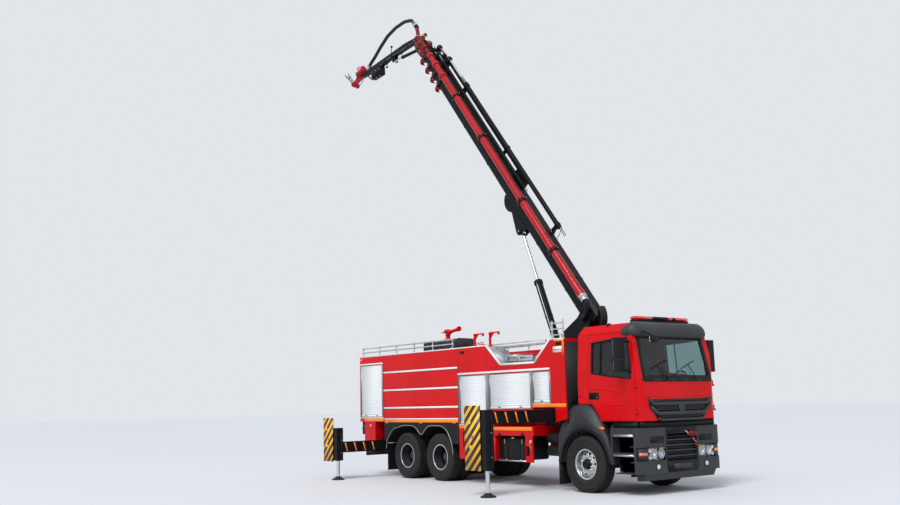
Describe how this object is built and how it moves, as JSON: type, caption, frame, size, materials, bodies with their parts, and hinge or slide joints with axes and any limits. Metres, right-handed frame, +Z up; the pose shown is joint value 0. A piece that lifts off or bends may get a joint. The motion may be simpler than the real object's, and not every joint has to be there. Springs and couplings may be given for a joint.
{
  "type": "telescopic boom fire truck",
  "caption": "Fire engine with a telescopic water boom on a slewing turret, a folding end arm with a nozzle, four outriggers and a hollow two-door cab",
  "frame": {"origin": "middle of the whole truck's bounding box in plan, on the ground", "axes": "+X to the cab, +Y to the truck's left, +Z up"},
  "size_m": [12.3256, 6.2198, 12.5163],
  "materials": {
    "red_paint": "gloss fire red paint",
    "black_paint": "satin black boom paint",
    "white_slats": "pale lacquered aluminium slats",
    "chassis_black": "satin black frame paint",
    "silver_metal": "satin aluminium",
    "steel": "bare machined steel",
    "bright_chrome": "polished chrome",
    "tyre_rubber": "black tyre rubber",
    "black_rubber": "matt black rubber",
    "black_plastic": "grained black moulding",
    "clear_glass": "tinted safety glass",
    "lamp_lens": "clear red and white lamp covers",
    "seat_fabric": "dark woven seat cloth",
    "engine_iron": "painted cast iron",
    "cover_fabric": "black coated canvas"
  },
  "bodies": {
    "truck": {"chassis_frame": "chassis_black", "front_axle": "chassis_black", "rear_bogie": "chassis_black", "engine_block": "engine_iron", "fuel_tanks": "chassis_black", "front_bumper": "black_plastic", "lamps": "lamp_lens", "fenders_and_steps": "black_plastic", "rear_mudguards": "black_plastic", "rear_lockers": "red_paint", "water_tank": "red_paint", "front_lockers": "red_paint", "shutters": "white_slats", "lower_skirts": "red_paint", "roof_deck": "silver_metal", "roof_rails": "bright_chrome", "ladder_gantry": "red_paint", "covered_box": "cover_fabric", "roof_monitor": "red_paint", "crane_subframe": "black_paint", "cab_shell": "red_paint", "windscreen": "clear_glass", "cab_trim": "black_plastic", "cab_interior": "seat_fabric"},
    "door_right": {"door_right": "red_paint", "door_glass_right": "clear_glass", "door_mirror_right": "black_plastic"},
    "knuckle_right": {"knuckle_right": "steel"},
    "front_wheel_right": {"front_wheel_right": "tyre_rubber"},
    "rear_wheel_1_right": {"rear_wheel_1_right": "tyre_rubber"},
    "rear_wheel_2_right": {"rear_wheel_2_right": "tyre_rubber"},
    "door_left": {"door_left": "red_paint", "door_glass_left": "clear_glass", "door_mirror_left": "black_plastic"},
    "knuckle_left": {"knuckle_left": "steel"},
    "front_wheel_left": {"front_wheel_left": "tyre_rubber"},
    "rear_wheel_1_left": {"rear_wheel_1_left": "tyre_rubber"},
    "rear_wheel_2_left": {"rear_wheel_2_left": "tyre_rubber"},
    "beam_front_right": {"beam_front_right": "black_paint"},
    "jack_front_right": {"jack_front_right": "bright_chrome"},
    "beam_front_left": {"beam_front_left": "black_paint"},
    "jack_front_left": {"jack_front_left": "bright_chrome"},
    "beam_rear_right": {"beam_rear_right": "black_paint"},
    "jack_rear_right": {"jack_rear_right": "bright_chrome"},
    "beam_rear_left": {"beam_rear_left": "black_paint"},
    "jack_rear_left": {"jack_rear_left": "bright_chrome"},
    "turret": {"turret": "black_paint", "foot_hoses": "black_rubber"},
    "boom": {"boom_outer": "black_paint", "water_pipe": "red_paint"},
    "section_1": {"section_1": "black_paint"},
    "section_2": {"section_2": "black_paint"},
    "section_3": {"section_3": "black_paint"},
    "jib": {"jib": "black_paint", "jib_hose": "black_rubber"},
    "tip_monitor": {"tip_monitor": "red_paint"},
    "lift_barrel": {"lift_barrel": "black_paint"},
    "lift_rod": {"lift_rod": "bright_chrome"},
    "jib_barrel": {"jib_barrel": "black_paint"},
    "jib_rod": {"jib_rod": "bright_chrome"}
  },
  "joints": [
    {"name": "door_right_swing", "type": "hinge", "parent": "truck", "child": "door_right", "pos_m": [6.01383, -1.142, 2], "axis": [0, 0, 1], "range_deg": [0, 70]},
    {"name": "steer_right", "type": "hinge", "parent": "truck", "child": "knuckle_right", "pos_m": [4.67883, -0.85, 0.53], "axis": [0, 0, 1], "range_deg": [-35, 35]},
    {"name": "front_wheel_right_spin", "type": "hinge", "parent": "knuckle_right", "child": "front_wheel_right", "pos_m": [4.67883, -1.045, 0.545], "axis": [0, 1, 0], "continuous": true},
    {"name": "rear_wheel_1_right_spin", "type": "hinge", "parent": "truck", "child": "rear_wheel_1_right", "pos_m": [-0.07117, -0.89, 0.545], "axis": [0, 1, 0], "continuous": true},
    {"name": "rear_wheel_2_right_spin", "type": "hinge", "parent": "truck", "child": "rear_wheel_2_right", "pos_m": [-1.42117, -0.89, 0.545], "axis": [0, 1, 0], "continuous": true},
    {"name": "door_left_swing", "type": "hinge", "parent": "truck", "child": "door_left", "pos_m": [6.01383, 1.142, 2], "axis": [0, 0, -1], "range_deg": [0, 70]},
    {"name": "steer_left", "type": "hinge", "parent": "truck", "child": "knuckle_left", "pos_m": [4.67883, 0.85, 0.53], "axis": [0, 0, 1], "range_deg": [-35, 35]},
    {"name": "front_wheel_left_spin", "type": "hinge", "parent": "knuckle_left", "child": "front_wheel_left", "pos_m": [4.67883, 1.045, 0.545], "axis": [0, 1, 0], "continuous": true},
    {"name": "rear_wheel_1_left_spin", "type": "hinge", "parent": "truck", "child": "rear_wheel_1_left", "pos_m": [-0.07117, 0.89, 0.545], "axis": [0, 1, 0], "continuous": true},
    {"name": "rear_wheel_2_left_spin", "type": "hinge", "parent": "truck", "child": "rear_wheel_2_left", "pos_m": [-1.42117, 0.89, 0.545], "axis": [0, 1, 0], "continuous": true},
    {"name": "beam_front_right_slide", "type": "slide", "parent": "truck", "child": "beam_front_right", "axis": [0, -1, 0], "range_m": [-1.65, 0]},
    {"name": "jack_front_right_slide", "type": "slide", "parent": "beam_front_right", "child": "jack_front_right", "axis": [0, 0, -1], "range_m": [-0.4, 0]},
    {"name": "beam_front_left_slide", "type": "slide", "parent": "truck", "child": "beam_front_left", "axis": [0, 1, 0], "range_m": [-1.65, 0]},
    {"name": "jack_front_left_slide", "type": "slide", "parent": "beam_front_left", "child": "jack_front_left", "axis": [0, 0, -1], "range_m": [-0.4, 0]},
    {"name": "beam_rear_right_slide", "type": "slide", "parent": "truck", "child": "beam_rear_right", "axis": [0, -1, 0], "range_m": [-1.25, 0]},
    {"name": "jack_rear_right_slide", "type": "slide", "parent": "beam_rear_right", "child": "jack_rear_right", "axis": [0, 0, -1], "range_m": [-0.36, 0]},
    {"name": "beam_rear_left_slide", "type": "slide", "parent": "truck", "child": "beam_rear_left", "axis": [0, 1, 0], "range_m": [-1.25, 0]},
    {"name": "jack_rear_left_slide", "type": "slide", "parent": "beam_rear_left", "child": "jack_rear_left", "axis": [0, 0, -1], "range_m": [-0.36, 0]},
    {"name": "boom_slew", "type": "hinge", "parent": "truck", "child": "turret", "pos_m": [3.22883, 0, 2.6], "axis": [0, 0, 1], "range_deg": [0, 360]},
    {"name": "boom_lift", "type": "hinge", "parent": "turret", "child": "boom", "pos_m": [3.82883, 0, 3.5], "axis": [0, 1, 0], "range_deg": [-48, 17]},
    {"name": "extend_1", "type": "slide", "parent": "boom", "child": "section_1", "axis": [-0.6032, 0, 0.7976], "range_m": [0, 4.3]},
    {"name": "extend_2", "type": "slide", "parent": "section_1", "child": "section_2", "axis": [-0.6032, 0, 0.7976], "range_m": [0, 4.3]},
    {"name": "extend_3", "type": "slide", "parent": "section_2", "child": "section_3", "axis": [-0.6032, 0, 0.7976], "range_m": [0, 4.3]},
    {"name": "jib_fold", "type": "hinge", "parent": "section_3", "child": "jib", "pos_m": [-2.27143, 0, 11.72017], "axis": [0, -1, 0], "range_deg": [-45, 45]},
    {"name": "lift_barrel_tilt", "type": "hinge", "parent": "turret", "child": "lift_barrel", "pos_m": [2.87883, 0, 2.78], "axis": [0, 1, 0], "range_deg": [-49, 18]},
    {"name": "lift_rod_slide", "type": "slide", "parent": "lift_barrel", "child": "lift_rod", "axis": [-0.3611, 0, 0.9325], "range_m": [-0.95, 0.36]},
    {"name": "jib_barrel_tilt", "type": "hinge", "parent": "section_3", "child": "jib_barrel", "pos_m": [-2.22309, 0, 11.43576], "axis": [0, -1, 0], "range_deg": [-44, 44]},
    {"name": "jib_rod_slide", "type": "slide", "parent": "jib_barrel", "child": "jib_rod", "axis": [-0.9996, 0, 0.0292], "range_m": [-0.22, 0.22]},
    {"name": "tip_monitor_pitch", "type": "hinge", "parent": "jib", "child": "tip_monitor", "pos_m": [-5.17933, 0, 11.51683], "axis": [0, 1, 0], "range_deg": [-30, 22]}
  ],
  "couplings": [
    {"joint": "steer_right", "follows": "steer_left", "ratio": 1},
    {"joint": "extend_2", "follows": "extend_1", "ratio": 1},
    {"joint": "extend_3", "follows": "extend_1", "ratio": 1},
    {"joint": "lift_barrel_tilt", "follows": "boom_lift", "ratio": 1},
    {"joint": "lift_rod_slide", "follows": "boom_lift", "m_per_rad": 1.1},
    {"joint": "jib_barrel_tilt", "follows": "jib_fold", "ratio": 0.956},
    {"joint": "jib_rod_slide", "follows": "jib_fold", "m_per_rad": -0.272}
  ]
}
